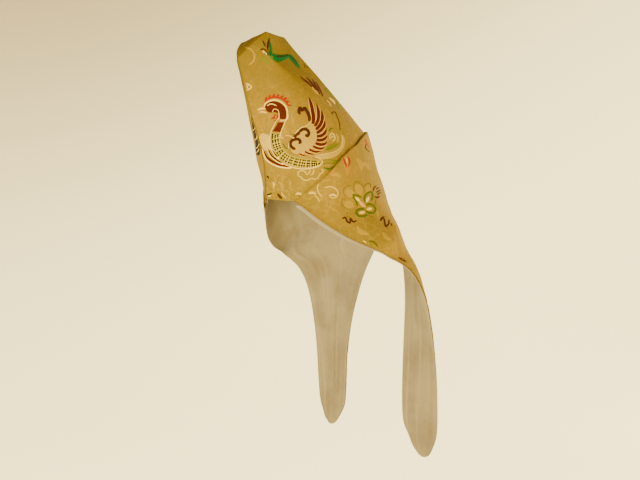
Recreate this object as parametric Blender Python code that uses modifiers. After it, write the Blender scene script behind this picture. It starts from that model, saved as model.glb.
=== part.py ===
# A priest's tall brocade hat: a hollow crown, two wings that fold out of it at the nape
# and run down into tails, and the silk lining that shows inside and along the hem.
# Metres, +Z up. The origin is where the top of the wearer's head sits inside the crown,
# the wearer looks along -Y, and +X is the wearer's left.

import bpy
import bmesh
import numpy as np

# Driving dimensions: the plies, the gaps between them and the folded roof's three heights
brocade_wall = 0.0015
lining_wall = 0.0010
wing_ply_gap = 0.0005
seam_gap = 0.0004
crown_underlap = 0.010
ledge_rise = 0.001
roof_front_z = 0.114
roof_corner_z = 0.155
roof_back_z = 0.169
# Where the widest point lies on the way from the front ridge, 0, to the back ridge, 1
side_share = 0.42

# How far each ply stands off the crown's outer face: at the sides, the front, the back and the roof,
# and how far the front ridge is pinched forward. The wing stands out further along its fold, and
# its narrow ledge there starts close to the crown.
crown_offset = {"half": 0.0, "front": 0.0, "back": 0.0, "roof": 0.0, "pinch": 0.0020}
crown_lining_offset = {"half": -0.0035, "front": 0.0045, "back": -0.0080, "roof": -0.0080, "pinch": 0.0}
wing_offset = {"half": 0.0035, "front": -0.0035, "back": 0.0080, "roof": 0.0, "pinch": 0.0}
wing_edge_offset = {"half": 0.0045, "front": -0.0045, "back": 0.0115, "roof": 0.0, "pinch": 0.0}
wing_root_offset = {"half": 0.0020, "front": -0.0020, "back": 0.0035, "roof": 0.0, "pinch": 0.0}

# Level sections of the hood, top to bottom. front, side and back are the places along Y of the
# front ridge, the widest point and the back ridge; half is the half width; the last two columns
# say how full each stretch is: 1 is a flat facet, 2 a parabola, 3 fuller still.
hood_columns = ("z", "front", "side", "back", "half", "front_full", "back_full")
hood_sections = [
    (0.172, -0.169, -0.129, -0.066, 0.032, 1.00, 1.00),
    (0.155, -0.167, -0.129, -0.044, 0.038, 1.00, 1.00),
    (0.114, -0.159, -0.124, 0.015, 0.0465, 1.40, 1.15),
    (0.085, -0.151, -0.090, 0.054, 0.056, 2.20, 1.35),
    (0.062, -0.1445, -0.066, 0.0845, 0.064, 2.50, 1.50),
    (0.038, -0.1365, -0.046, 0.1153, 0.071, 2.90, 1.60),
    (0.013, -0.128, -0.028, 0.1445, 0.078, 3.20, 1.65),
    (-0.013, -0.118, -0.012, 0.1515, 0.084, 3.60, 1.70),
    (-0.040, -0.1095, 0.000, 0.161, 0.090, 3.70, 1.70),
    (-0.068, -0.104, 0.012, 0.174, 0.096, 3.15, 1.65),
    (-0.092, -0.103, 0.022, 0.1875, 0.102, 2.60, 1.55),
    (-0.117, -0.103, 0.030, 0.195, 0.110, 2.05, 1.55),
    (-0.145, -0.105, 0.040, 0.197, 0.121, 1.92, 1.75),
    (-0.185, -0.105, 0.055, 0.200, 0.145, 1.83, 2.00),
    (-0.215, -0.105, 0.065, 0.200, 0.158, 1.60, 2.00),
]

# The fold where the wings leave the crown, from its front tip (share 0) to the back ridge (share 1)
# Columns: share, z
fold_line = [(0.0, -0.124), (0.10, -0.090), (0.25, -0.050), (0.50, -0.020), (0.75, 0.006), (1.0, 0.024)]

# The open hem of the face, down each wing: height and place along Y
# Columns: z, y
hem_line = [(-0.117, -0.084), (-0.124, -0.0725), (-0.135, -0.0635), (-0.145, -0.0555), (-0.155, -0.047),
            (-0.165, -0.038), (-0.175, -0.0275), (-0.185, -0.016), (-0.195, 0.000), (-0.205, 0.020),
            (-0.210, 0.030)]

# The rows of each wing while it is still part of the hood: height at the hem and at the back
# Columns: z at the hem, z at the back seam
wing_rows = [(-0.124, 0.024), (-0.140, -0.008), (-0.156, -0.045), (-0.172, -0.080), (-0.190, -0.115),
             (-0.206, -0.146)]

# The rows of each tail, from the nape down, as three points across it
# Columns: x, y, z of the outer edge, x, y, z of the middle, x, y, z of the inner edge
tail_rows = [
    (0.150, 0.045, -0.217, 0.126, 0.117, -0.206, 0.020, 0.201, -0.182),
    (0.158, 0.075, -0.231, 0.124, 0.142, -0.230, 0.040, 0.200, -0.218),
    (0.162, 0.103, -0.254, 0.125, 0.156, -0.262, 0.056, 0.192, -0.258),
    (0.165, 0.126, -0.292, 0.125, 0.160, -0.306, 0.067, 0.183, -0.304),
    (0.166, 0.142, -0.350, 0.126, 0.164, -0.362, 0.074, 0.172, -0.358),
    (0.166, 0.153, -0.425, 0.125, 0.165, -0.430, 0.078, 0.163, -0.426),
    (0.165, 0.158, -0.500, 0.124, 0.164, -0.505, 0.079, 0.160, -0.492),
    (0.161, 0.160, -0.545, 0.124, 0.162, -0.560, 0.083, 0.160, -0.535),
    (0.150, 0.160, -0.574, 0.126, 0.161, -0.590, 0.097, 0.160, -0.562),
]

# Soft folds pressed into each wing: where they lie across it at its first and last row, how wide
# they are, how deep, and the rows between which they show. Across runs from the hem, 0, to the back, 1.
# Columns: across at the first row, across at the last row, width, depth, first row, last row
wing_folds = [
    (0.13, 0.36, 0.055, 0.0035, 0.5, 9.0),
    (0.78, 0.62, 0.090, 0.0040, 6.5, 14.0),
    (0.30, 0.26, 0.080, -0.0030, 7.0, 14.0),
]

# How finely each surface is cut into faces, and the least angle that stays a sharp crease
crown_columns = 15
crown_rows = 14
roof_rows = 2
wing_grid_columns = 16
wing_steps_per_row = 2
crease_angle = 32.0

# The wing's lining starts this many steps below the fold, and shows this share past the hem
wing_lining_first_step = 1
wing_lining_show = 0.035


def smooth(x, knots, values):
    """A smooth curve through the table's points, read at x. Knots rise."""
    knots, values = np.asarray(knots, float), np.asarray(values, float)
    slopes = np.gradient(values, knots)
    x = np.clip(x, knots[0], knots[-1])
    i = np.clip(np.searchsorted(knots, x) - 1, 0, len(knots) - 2)
    step = knots[i + 1] - knots[i]
    u = (x - knots[i]) / step
    a = values[i] * (2 * u**3 - 3 * u**2 + 1) + values[i + 1] * (3 * u**2 - 2 * u**3)
    return a + step * (slopes[i] * (u**3 - 2 * u**2 + u) + slopes[i + 1] * (u**3 - u**2))


def hood_values(z):
    """Each column of the hood table, read at height z."""
    table = np.array(hood_sections)[::-1]
    return {name: smooth(z, table[:, 0], table[:, i]) for i, name in enumerate(hood_columns) if i}


def hood_point(share, z, offset):
    """A point of the hood's left half: share 0 is the front ridge, side_share the widest, 1 the back."""
    v = hood_values(z)
    half, front, back = v["half"] + offset["half"], v["front"] + offset["front"], v["back"] + offset["back"]
    ahead = np.cos(np.clip(share / side_share, 0, 1) * np.pi / 2)
    behind = np.clip((share - side_share) / (1 - side_share), 0, 1)
    x = half * np.where(share <= side_share, 1 - ahead ** v["front_full"], 1 - behind ** v["back_full"])
    y = np.where(share <= side_share, v["side"] - (v["side"] - front) * ahead,
                 v["side"] + (back - v["side"]) * behind)
    y = y - offset["pinch"] * np.exp(-(x / 0.006) ** 2) * (share < 0.2)
    return np.stack([x, y, z + 0 * x], -1)


def hem_share(z):
    """Where along the hood's section the hem lies at height z."""
    table = np.array(hem_line)[::-1]
    v = hood_values(z)
    y = smooth(z, table[:, 0], table[:, 1])
    return side_share * np.arccos(np.clip((v["side"] - y) / (v["side"] - v["front"]), -1, 1)) * 2 / np.pi


tip_share = float(hem_share(np.array(fold_line[0][1])))


def fold_height(share):
    """Height of the fold at a share of the hood's section."""
    table = np.array(fold_line)
    return smooth((share - tip_share) / (1 - tip_share), table[:, 0], table[:, 1])


def crown_surface(offset):
    """Grid of the crown's left half: rows rise from its lower edge to the roof and across it."""
    share = np.linspace(0, 1, crown_columns + 1)[None, :]
    front_hem = smooth(share, [0, tip_share], [hem_line[0][0], fold_line[0][1]])
    under = crown_underlap * np.clip((share - tip_share) / 0.15, 0, 1)
    low = np.where(share < tip_share, front_hem, fold_height(share) - under)
    # The roof's edge climbs straight from the front to the widest point, then straight to the back
    climb = 1 - np.cos(np.clip(share / side_share, 0, 1) * np.pi / 2)
    roof = np.where(share < side_share, roof_front_z + (roof_corner_z - roof_front_z) * climb,
                    np.interp(share, [side_share, 1], [roof_corner_z, roof_back_z])) + offset["roof"]
    rise = np.linspace(0, 1, crown_rows + 1)[:, None]
    wall = hood_point(share + 0 * rise, low + (roof - low) * rise, offset)
    across = [wall[-1] * [1 - i / roof_rows, 1, 1] for i in range(1, roof_rows + 1)]
    return np.concatenate([wall, across])


def wing_keys(across):
    """The wing's rows as points: first those on the hood, then those of the tail."""
    fold = (fold_height(tip_share + (1 - tip_share) * across) - fold_line[0][1])
    fold = fold / (fold_line[-1][1] - fold_line[0][1])
    rows = []
    for at_hem, at_back in wing_rows:
        first = float(hem_share(np.array(at_hem)))
        offset = wing_offset if rows else wing_edge_offset
        rows.append(hood_point(first + (1 - first) * across, at_hem + (at_back - at_hem) * fold, offset))
    q = across[:, None]
    for outer, mid, inner in np.array(tail_rows).reshape(-1, 3, 3):
        rows.append(outer * (1 - q) * (1 - 2 * q) + mid * 4 * q * (1 - q) + inner * q * (2 * q - 1))
    return np.array(rows)


def wing_surface(first_step, show, *insets):
    """Grids of the left wing and tail, each set in from the brocade's outer face by one inset.
    Rows climb from the tail's end to the fold, columns run from the hem to the back."""
    across = np.linspace(0, 1, wing_grid_columns + 1)
    if show:
        across = np.append(-show, across)
    keys = wing_keys(across)
    knots = np.arange(len(keys))
    rows = np.arange(knots[-1] * wing_steps_per_row, first_step - 1, -1) / wing_steps_per_row
    columns = [[smooth(rows, knots, keys[:, c, axis]) for axis in range(3)] for c in range(len(across))]
    grid = np.array(columns).transpose(2, 0, 1)
    if first_step == 0:
        # The fold turns in over the crown as a narrow ledge
        share = tip_share + (1 - tip_share) * across
        grid = np.append(grid, hood_point(share, fold_height(share) + ledge_rise, wing_root_offset)[None], 0)
        rows = np.append(rows, 0)
    normal = np.cross(np.gradient(grid, axis=1), np.gradient(grid, axis=0))
    normal /= np.linalg.norm(normal, axis=2, keepdims=True)
    depth = np.zeros(grid.shape[:2])
    for start, end, width, deep, row_first, row_last in wing_folds:
        along = np.clip((rows - row_first) / (row_last - row_first), 0, 1)
        middle = start + (end - start) * rows / (len(keys) - 1)
        away = (across[None, :] - middle[:, None]) / width
        depth += deep * np.exp(-away ** 2) * (np.sin(np.pi * along) ** 0.7)[:, None]
    grid = grid - normal * depth[:, :, None]
    # At the back seam each ply ends on the middle plane, so its corner is mitred along that plane
    seam = rows <= len(wing_rows) - 1
    normal[seam, -1, 0] = 0
    normal[seam, -1] /= (normal[seam, -1] ** 2).sum(1, keepdims=True)
    grid[seam, -1, 0] = seam_gap / 2
    return [grid - normal * inset for inset in insets]


def cloth_material(name, colour, roughness):
    material = bpy.data.materials.new(name)
    material.use_nodes = True
    shader = material.node_tree.nodes["Principled BSDF"]
    shader.inputs["Base Color"].default_value = (*colour, 1)
    shader.inputs["Roughness"].default_value = roughness
    shader.inputs["Metallic"].default_value = 0.0
    return material


def shade(mesh):
    """Smooth faces, with the creases kept sharp."""
    mesh.polygons.foreach_set("use_smooth", [True] * len(mesh.polygons))
    mesh.set_sharp_from_angle(angle=np.radians(crease_angle))


def grid_object(name, grid, material, collection):
    """A mesh of quads through a grid of points, with doubled points merged and faces turned out."""
    rows, columns, _ = grid.shape
    mesh = bpy.data.meshes.new(name)
    quads = [(r * columns + c, r * columns + c + 1, (r + 1) * columns + c + 1, (r + 1) * columns + c)
             for r in range(rows - 1) for c in range(columns - 1)]
    mesh.from_pydata(grid.reshape(-1, 3).tolist(), [], quads)
    work = bmesh.new()
    work.from_mesh(mesh)
    bmesh.ops.remove_doubles(work, verts=work.verts, dist=0.00005)
    work.to_mesh(mesh)
    work.free()
    shade(mesh)
    mesh.materials.append(material)
    piece = bpy.data.objects.new(name, mesh)
    collection.objects.link(piece)
    return piece


def add_wall(piece, thickness):
    """Thickens the sheet towards the head."""
    wall = piece.modifiers.new("wall", "SOLIDIFY")
    wall.thickness = thickness
    wall.offset = -1
    wall.use_even_offset = True
    wall.use_quality_normals = True


def crown_piece(name, offset, thickness, material, collection):
    """A crown ply: the left half, mirrored across the front and back ridges."""
    piece = grid_object(name, crown_surface(offset), material, collection)
    mirror = piece.modifiers.new("both sides", "MIRROR")
    mirror.use_axis = (True, False, False)
    mirror.use_clip = True
    mirror.merge_threshold = 0.00005
    add_wall(piece, thickness)
    return piece


def wing_piece(name, side, plies, material, collection):
    """A closed wall between the outer and the inner grid of one ply, on the left or the right."""
    outer, inner = [grid * [side, 1, 1] for grid in plies]
    rows, columns, _ = outer.shape
    work = bmesh.new()
    points = [[[work.verts.new(p) for p in line] for line in grid] for grid in (outer, inner)]

    def face(*corners):
        work.faces.new(corners if side > 0 else corners[::-1])

    for r in range(rows - 1):
        for c in range(columns - 1):
            face(*[points[0][i][j] for i, j in ((r, c), (r, c + 1), (r + 1, c + 1), (r + 1, c))])
            face(*[points[1][i][j] for i, j in ((r, c), (r + 1, c), (r + 1, c + 1), (r, c + 1))])
    border = [(0, c) for c in range(columns)] + [(r, columns - 1) for r in range(1, rows)]
    border += [(rows - 1, c) for c in range(columns - 2, -1, -1)] + [(r, 0) for r in range(rows - 2, 0, -1)]
    for (i, j), (k, m) in zip(border, border[1:] + border[:1]):
        face(points[0][k][m], points[0][i][j], points[1][i][j], points[1][k][m])
    mesh = bpy.data.meshes.new(name)
    work.to_mesh(mesh)
    work.free()
    shade(mesh)
    mesh.materials.append(material)
    piece = bpy.data.objects.new(name, mesh)
    collection.objects.link(piece)


def main():
    for old in list(bpy.data.objects):
        bpy.data.objects.remove(old, do_unlink=True)
    hat = bpy.data.collections.new("priest_hat")
    bpy.context.scene.collection.children.link(hat)
    brocade = cloth_material("gold_brocade", (0.58, 0.36, 0.09), 0.45)
    silk = cloth_material("silk_lining", (0.46, 0.37, 0.24), 0.6)

    crown_piece("crown", crown_offset, brocade_wall, brocade, hat)
    crown_piece("crown_lining", crown_lining_offset, lining_wall, silk, hat)
    outer = wing_surface(0, 0, 0, brocade_wall)
    inside = brocade_wall + wing_ply_gap
    inner = wing_surface(wing_lining_first_step, wing_lining_show, inside, inside + lining_wall)
    for side, word in ((1, "left"), (-1, "right")):
        wing_piece("wing_" + word, side, outer, brocade, hat)
        wing_piece("wing_lining_" + word, side, inner, silk, hat)


main()
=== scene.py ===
# A priest's tall brocade hood, seen from its left front, held up as a head would hold it.
# The cloths follow the same section tables as the solids; the woven figures are raised silk on top.
import math
import bpy
import numpy as np
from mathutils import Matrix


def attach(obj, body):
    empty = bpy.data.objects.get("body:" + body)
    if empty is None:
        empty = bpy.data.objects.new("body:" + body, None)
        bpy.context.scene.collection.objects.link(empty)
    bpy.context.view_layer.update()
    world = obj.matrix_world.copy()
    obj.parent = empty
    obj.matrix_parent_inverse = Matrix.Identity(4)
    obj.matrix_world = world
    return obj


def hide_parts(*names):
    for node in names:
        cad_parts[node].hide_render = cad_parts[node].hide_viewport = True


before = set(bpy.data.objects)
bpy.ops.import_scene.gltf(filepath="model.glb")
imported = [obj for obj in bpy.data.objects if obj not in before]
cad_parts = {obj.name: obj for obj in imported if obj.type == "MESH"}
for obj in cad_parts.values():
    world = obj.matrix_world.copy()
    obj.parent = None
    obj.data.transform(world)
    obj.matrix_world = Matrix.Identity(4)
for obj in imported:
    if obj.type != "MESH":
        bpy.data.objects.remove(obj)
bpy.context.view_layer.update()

# The cloth's shape, in metres. The wearer looks along -Y.
hood = {
    "sideShare": 0.42,                      # where the widest point lies from the front ridge to the back one
    "roofFront": 0.114, "roofCorner": 0.155, "roofBack": 0.169,     # heights of the folded roof's edge
    "underlap": 0.010, "underlapRun": 0.15,
    "pinchWidth": 0.006, "pinchShare": 0.2,
    # z, front, side, back, half width, fullness ahead, fullness behind
    "sections": [
        (0.172, -0.169, -0.129, -0.066, 0.032, 1.00, 1.00),
        (0.155, -0.167, -0.129, -0.044, 0.038, 1.00, 1.00),
        (0.114, -0.159, -0.124, 0.015, 0.0465, 1.40, 1.15),
        (0.085, -0.151, -0.090, 0.054, 0.056, 2.20, 1.35),
        (0.062, -0.1445, -0.066, 0.0845, 0.064, 2.50, 1.50),
        (0.038, -0.1365, -0.046, 0.1153, 0.071, 2.90, 1.60),
        (0.013, -0.128, -0.028, 0.1445, 0.078, 3.20, 1.65),
        (-0.013, -0.118, -0.012, 0.1515, 0.084, 3.60, 1.70),
        (-0.040, -0.1095, 0.000, 0.161, 0.090, 3.70, 1.70),
        (-0.068, -0.104, 0.012, 0.174, 0.096, 3.15, 1.65),
        (-0.092, -0.103, 0.022, 0.1875, 0.102, 2.60, 1.55),
        (-0.117, -0.103, 0.030, 0.195, 0.110, 2.05, 1.55),
        (-0.145, -0.105, 0.040, 0.197, 0.121, 1.92, 1.75),
        (-0.185, -0.105, 0.055, 0.200, 0.145, 1.83, 2.00),
        (-0.215, -0.105, 0.065, 0.200, 0.158, 1.60, 2.00),
    ],
    "fold": [(0.0, -0.124), (0.10, -0.090), (0.25, -0.050), (0.50, -0.020), (0.75, 0.006), (1.0, 0.024)],
    # z, y
    "hem": [(-0.117, -0.084), (-0.124, -0.0725), (-0.135, -0.0635), (-0.145, -0.0555), (-0.155, -0.047),
            (-0.165, -0.038), (-0.175, -0.0275), (-0.185, -0.016), (-0.195, 0.000), (-0.205, 0.020),
            (-0.210, 0.030)],
}

# How far each ply stands off the crown's outer face at the sides, the front, the back and the roof, and
# how far its front ridge is drawn forward
standOff = {
    "crown": (0.0, 0.0, 0.0, 0.0, 0.0020),
    "crownLining": (-0.0035, 0.0045, -0.0080, -0.0080, 0.0),
    "wing": (0.0035, -0.0035, 0.0080, 0.0, 0.0),
    "wingEdge": (0.0045, -0.0045, 0.0115, 0.0, 0.0),
    "wingRoot": (0.0020, -0.0020, 0.0035, 0.0, 0.0),
}

wing = {
    "rows": [(-0.124, 0.024), (-0.140, -0.008), (-0.156, -0.045), (-0.172, -0.080), (-0.190, -0.115),
             (-0.206, -0.146)],             # height at the hem, height at the back seam
    # outer edge, middle and inner edge of the tail, each x, y, z
    "tail": [
        (0.150, 0.045, -0.217, 0.126, 0.117, -0.206, 0.020, 0.201, -0.182),
        (0.158, 0.075, -0.231, 0.124, 0.142, -0.230, 0.040, 0.200, -0.218),
        (0.162, 0.103, -0.254, 0.125, 0.156, -0.262, 0.056, 0.192, -0.258),
        (0.165, 0.126, -0.292, 0.125, 0.160, -0.306, 0.067, 0.183, -0.304),
        (0.166, 0.142, -0.350, 0.126, 0.164, -0.362, 0.074, 0.172, -0.358),
        (0.166, 0.153, -0.425, 0.125, 0.165, -0.430, 0.078, 0.163, -0.426),
        (0.165, 0.158, -0.500, 0.124, 0.164, -0.505, 0.079, 0.160, -0.492),
        (0.161, 0.160, -0.545, 0.124, 0.162, -0.560, 0.083, 0.160, -0.535),
        (0.150, 0.160, -0.574, 0.126, 0.161, -0.590, 0.097, 0.160, -0.562),
    ],
    # across at the first row, across at the last, width, depth, first row, last row
    "folds": [(0.13, 0.36, 0.055, 0.0035, 0.5, 9.0), (0.78, 0.62, 0.090, 0.0040, 6.5, 14.0),
              (0.30, 0.26, 0.080, -0.0030, 7.0, 14.0)],
    "ledgeRise": 0.001, "ledgeBulge": 0.0016, "bulgeRun": 0.2,
    # how far waves fade and edges roll in, in shares across and in rows
    "stillAcross": 0.12, "stillRows": 1.2, "rollAcross": 0.003, "rollRows": 0.03,
    "seamGap": 0.0004,
    "liningShow": 0.022,                    # the share by which the lining stands out past the hem
}

# walls and the gap between them, the roll of a cut edge, and how far the edge mask reaches from a ridge or an
# edge:
# painted shade on the brocade, a paler edge on the lining
cloths = {"brocadeWall": 0.0015, "liningWall": 0.0010, "plyGap": 0.0005, "edgeRoll": 0.0005,
          "ridgeMaskReach": 0.0018, "edgeMaskReach": 0.003, "roofMaskRows": 0.9, "roofMask": 0.6,
          "sharpFrom": 50}


# A smooth curve through a table's points read at x: on each stretch the cubic that keeps the table's
# own slopes at both ends.
def throughPoints(x, knots, values):
    knots, values = np.asarray(knots, float), np.asarray(values, float)
    slopes = np.gradient(values, knots, axis=0)
    x = np.clip(x, knots[0], knots[-1])
    i = np.clip(np.searchsorted(knots, x) - 1, 0, len(knots) - 2)
    step = knots[i + 1] - knots[i]
    u = (x - knots[i]) / step
    if values.ndim > 1:
        step, u = step[..., None], u[..., None]
    body = values[i] * (2 * u**3 - 3 * u**2 + 1) + values[i + 1] * (3 * u**2 - 2 * u**3)
    return body + step * (slopes[i] * (u**3 - 2 * u**2 + u) + slopes[i + 1] * (u**3 - u**2))


# A point of the left half: ahead of the widest point the half width falls with the power of a cosine,
# behind it with the power of a straight run, and a small pinch draws the front ridge forward.
def hoodPoint(share, z, ply):
    half, front, back, _, pinch = standOff[ply]
    table = np.array(hood["sections"])[::-1]
    value = throughPoints(np.asarray(z, float), table[:, 0], table[:, 1:])
    front, side, back = value[..., 0] + front, value[..., 1], value[..., 2] + back
    half, frontFull, backFull = value[..., 3] + half, value[..., 4], value[..., 5]
    middle = hood["sideShare"]
    ahead = np.cos(np.clip(share / middle, 0, 1) * np.pi / 2)
    behind = np.clip((share - middle) / (1 - middle), 0, 1)
    x = half * np.where(share <= middle, 1 - ahead ** frontFull, 1 - behind ** backFull)
    y = np.where(share <= middle, side - (side - front) * ahead, side + (back - side) * behind)
    y = y - pinch * np.exp(-(x / hood["pinchWidth"]) ** 2) * (share < hood["pinchShare"])
    return np.stack([x, y, z + 0 * x], -1)


# Where along the section the hem lies at height z: the cosine above turned round.
def hemShare(z):
    rows = np.array(hood["hem"])[::-1]
    table = np.array(hood["sections"])[::-1]
    value = throughPoints(np.asarray(z, float), table[:, 0], table[:, 1:])
    y = throughPoints(np.asarray(z, float), rows[:, 0], rows[:, 1])
    turn = np.clip((value[..., 1] - y) / (value[..., 1] - value[..., 0]), -1, 1)
    return hood["sideShare"] * np.arccos(turn) * 2 / np.pi


tipShare = float(hemShare(hood["fold"][0][1]))


# Height of the fold at a share of the section.
def foldHeight(share):
    table = np.array(hood["fold"])
    return throughPoints((share - tipShare) / (1 - tipShare), table[:, 0], table[:, 1])


# Grey noise from 0 to 1: random values on a coarse lattice, joined by eased blends.
def softNoise(u, v, seed):
    lattice = np.random.default_rng(seed).random((64, 64))
    i, j = np.floor(u).astype(int), np.floor(v).astype(int)
    a, b = u - i, v - j
    a, b = a * a * (3 - 2 * a), b * b * (3 - 2 * b)
    top = lattice[i % 64, j % 64] * (1 - a) + lattice[(i + 1) % 64, j % 64] * a
    low = lattice[i % 64, (j + 1) % 64] * (1 - a) + lattice[(i + 1) % 64, (j + 1) % 64] * a
    return top * (1 - b) + low * b


# Vectors divided by their lengths.
def unit(vectors):
    return vectors / np.maximum(np.linalg.norm(vectors, axis=-1, keepdims=True), 1e-12)


# Unit normals of a grid: the slope along its columns crossed with the slope along its rows.
def gridNormals(grid):
    return unit(np.cross(np.gradient(grid, axis=1), np.gradient(grid, axis=0)))


# Length run so far along one axis of a grid.
def runLength(grid, axis):
    step = np.linalg.norm(np.diff(grid, axis=axis), axis=2)
    pad = [(1, 0), (0, 0)] if axis == 0 else [(0, 0), (1, 0)]
    return np.cumsum(np.pad(step, pad), axis=axis)


crown = {"columns": 110, "rows": 150, "roofRows": 26, "waves": 0.0007, "ridgeRounding": 1,
         "roofSag": 0.0005, "stillRows": 12, "stillRoofRows": 14}


# The crown's left half. Rows rise from its lower edge to the roof, then run in across the roof to the
# middle plane. Columns are spaced evenly by length round a middle section.
def crownGrid(ply, columns, rows, roofRows, waves, rounding):
    fine = np.linspace(0, 1, 2000)
    around = runLength(hoodPoint(fine, 0.03 + 0 * fine, ply)[None], 1)[0]
    share = np.interp(np.linspace(0, 1, columns + 1) * around[-1], around, fine)[None, :]
    frontHem = hood["hem"][0][0] + (hood["fold"][0][1] - hood["hem"][0][0]) * np.clip(share / tipShare, 0, 1)
    under = hood["underlap"] * np.clip((share - tipShare) / hood["underlapRun"], 0, 1)
    low = np.where(share < tipShare, frontHem, foldHeight(share) - under)
    # the roof's edge climbs straight from the front to the widest point, then straight to the back
    climb = 1 - np.cos(np.clip(share / hood["sideShare"], 0, 1) * np.pi / 2)
    roof = np.where(share < hood["sideShare"],
                    hood["roofFront"] + (hood["roofCorner"] - hood["roofFront"]) * climb,
                    np.interp(share, [hood["sideShare"], 1], [hood["roofCorner"], hood["roofBack"]]))
    roof = roof + standOff[ply][3]
    rise = np.linspace(0, 1, rows + 1)[:, None]
    wall = hoodPoint(share + 0 * rise, low + (roof - low) * rise, ply)
    inward = np.linspace(1, 0, roofRows + 1)[1:, None, None]
    over = np.concatenate([wall[-1:, :, :1] * inward, np.repeat(wall[-1:, :, 1:], roofRows, 0)], 2)
    # the roof sags a little between its edges
    over[:, :, 2] -= crown["roofSag"] * np.sin(np.pi * inward[:, :, 0]) * np.sin(np.pi * share[0])
    grid = np.concatenate([wall, over])
    # slow waves in the cloth, faded out at the ridges, the roof's edge and the hem
    u, v = np.meshgrid(np.linspace(0, 6, columns + 1), np.linspace(0, 8, len(grid)))
    wave = softNoise(u, v, 3) - 0.5 + 0.5 * (softNoise(u * 2.7 + v * 1.2, v * 1.7, 8) - 0.5)
    fade = np.sin(np.pi * share[0]) ** 0.5 * np.minimum(1, np.arange(len(grid)) / crown["stillRows"])[:, None]
    fade = fade * np.clip(np.abs(np.arange(len(grid)) - rows) / crown["stillRoofRows"], 0, 1)[:, None]
    fade[-1] = 0
    grid = grid + gridNormals(grid) * (wave * fade * waves * 2)[:, :, None]
    for _ in range(rounding):
        left = grid[:, 1:2] * [-1, 1, 1]
        right = grid[:, -2:-1] * [-1, 1, 1]
        wide = np.concatenate([left, grid, right], 1)
        grid = (wide[:, :-2] + 2 * wide[:, 1:-1] + wide[:, 2:]) / 4
        grid[1:-1] = (grid[:-2] + 2 * grid[1:-1] + grid[2:]) / 4
    grid[:, [0, -1], 0] = 0
    grid[-1, :, 0] = 0
    return grid


wingCloth = {"columns": 120, "stepsPerRow": 14, "ledgeRows": 6, "waves": 0.0011}
wingSilk = {"columns": 84, "stepsPerRow": 9, "firstRow": 0.5}


# The wing's rows as points: sections of the hood between hem and back seam, then parabolas through the
# tail's outer edge, middle and inner edge.
def wingKeys(across):
    fold = foldHeight(tipShare + (1 - tipShare) * across) - hood["fold"][0][1]
    fold = fold / (hood["fold"][-1][1] - hood["fold"][0][1])
    rows = []
    for atHem, atBack in wing["rows"]:
        first = float(hemShare(atHem))
        ply = "wing" if rows else "wingEdge"
        rows.append(hoodPoint(first + (1 - first) * across, atHem + (atBack - atHem) * fold, ply))
    q = across[:, None]
    for outer, mid, inner in np.array(wing["tail"]).reshape(-1, 3, 3):
        rows.append(outer * (1 - q) * (1 - 2 * q) + mid * 4 * q * (1 - q) + inner * q * (2 * q - 1))
    return np.array(rows)


# Left wing and tail as grids set in from the outer face. Rows climb from the tail's end to the fold and
# turn in over it as a rounded ledge; columns run from the hem to the back.
def wingGrids(columns, stepsPerRow, ledgeRows, waves, show, firstRow, insets):
    across = np.linspace(0, 1, columns + 1)
    across = np.concatenate([[0, 0.002, 0.005], across[1:-1], [0.995, 0.998, 1.0]])
    if show:
        across = np.concatenate([np.linspace(-show, 0, 5)[:-1], across])
    keys = wingKeys(across)
    knots = np.arange(len(keys))
    rows = np.linspace(knots[-1], firstRow, int((knots[-1] - firstRow) * stepsPerRow) + 1)
    grid = throughPoints(rows, knots, keys.reshape(len(keys), -1)).reshape(len(rows), len(across), 3)
    if ledgeRows:
        # a quarter round from the fold's edge in to the crown
        share = tipShare + (1 - tipShare) * across
        root = hoodPoint(share, foldHeight(share) + wing["ledgeRise"], "wingRoot")
        turn = np.linspace(0, np.pi / 2, ledgeRows + 1)[1:, None, None]
        lip = grid[-1] + (root - grid[-1]) * (1 - np.cos(turn))
        bulge = np.clip(across / wing["bulgeRun"], 0, 1)
        lip[:, :, 2] += (wing["ledgeBulge"] * np.sin(2 * turn)[:, :, 0]) * bulge
        grid = np.concatenate([grid, lip])
        rows = np.append(rows, np.zeros(ledgeRows))
    normal = gridNormals(grid)
    depth = np.zeros(grid.shape[:2])
    for start, end, width, deep, rowFirst, rowLast in wing["folds"]:
        along = np.clip((rows - rowFirst) / (rowLast - rowFirst), 0, 1)
        middle = start + (end - start) * rows / knots[-1]
        away = (across[None, :] - middle[:, None]) / width
        depth += deep * np.exp(-away ** 2) * (np.sin(np.pi * along) ** 0.7)[:, None]
    u, v = np.meshgrid(across * 5 + 2, rows * 0.9)
    wave = softNoise(u, v, 5) - 0.5 + 0.5 * (softNoise(u * 2.2 + v, v * 1.6, 6) - 0.5)
    fade = np.sqrt(np.clip(np.minimum(across, 1 - across) / wing["stillAcross"], 0, 1))
    fade = fade * np.clip(rows[:, None] / wing["stillRows"], 0, 1)
    depth = depth + wave * fade * waves * 2
    grid = grid - normal * depth[:, :, None]
    # the cut edges are rolled in by a hair
    roll = np.maximum(np.exp(-np.minimum(across - across[0], 1 - across) / wing["rollAcross"]),
                      np.exp(-(knots[-1] - rows) / wing["rollRows"])[:, None])
    seam = rows <= len(wing["rows"]) - 1
    roll[seam, -3:] = 0
    normal[seam, -1, 0] = 0
    normal[seam, -1] /= (normal[seam, -1] ** 2).sum(1, keepdims=True)
    grid[seam, -1, 0] = wing["seamGap"] / 2
    return [grid - normal * (inset + (cloths["edgeRoll"] * roll[:, :, None] if inset == insets[0] else 0))
            for inset in insets]


# An object of the scene, made from its data.
def newObject(name, data):
    made = bpy.data.objects.new(name, data)
    bpy.context.scene.collection.objects.link(made)
    return made
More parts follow.
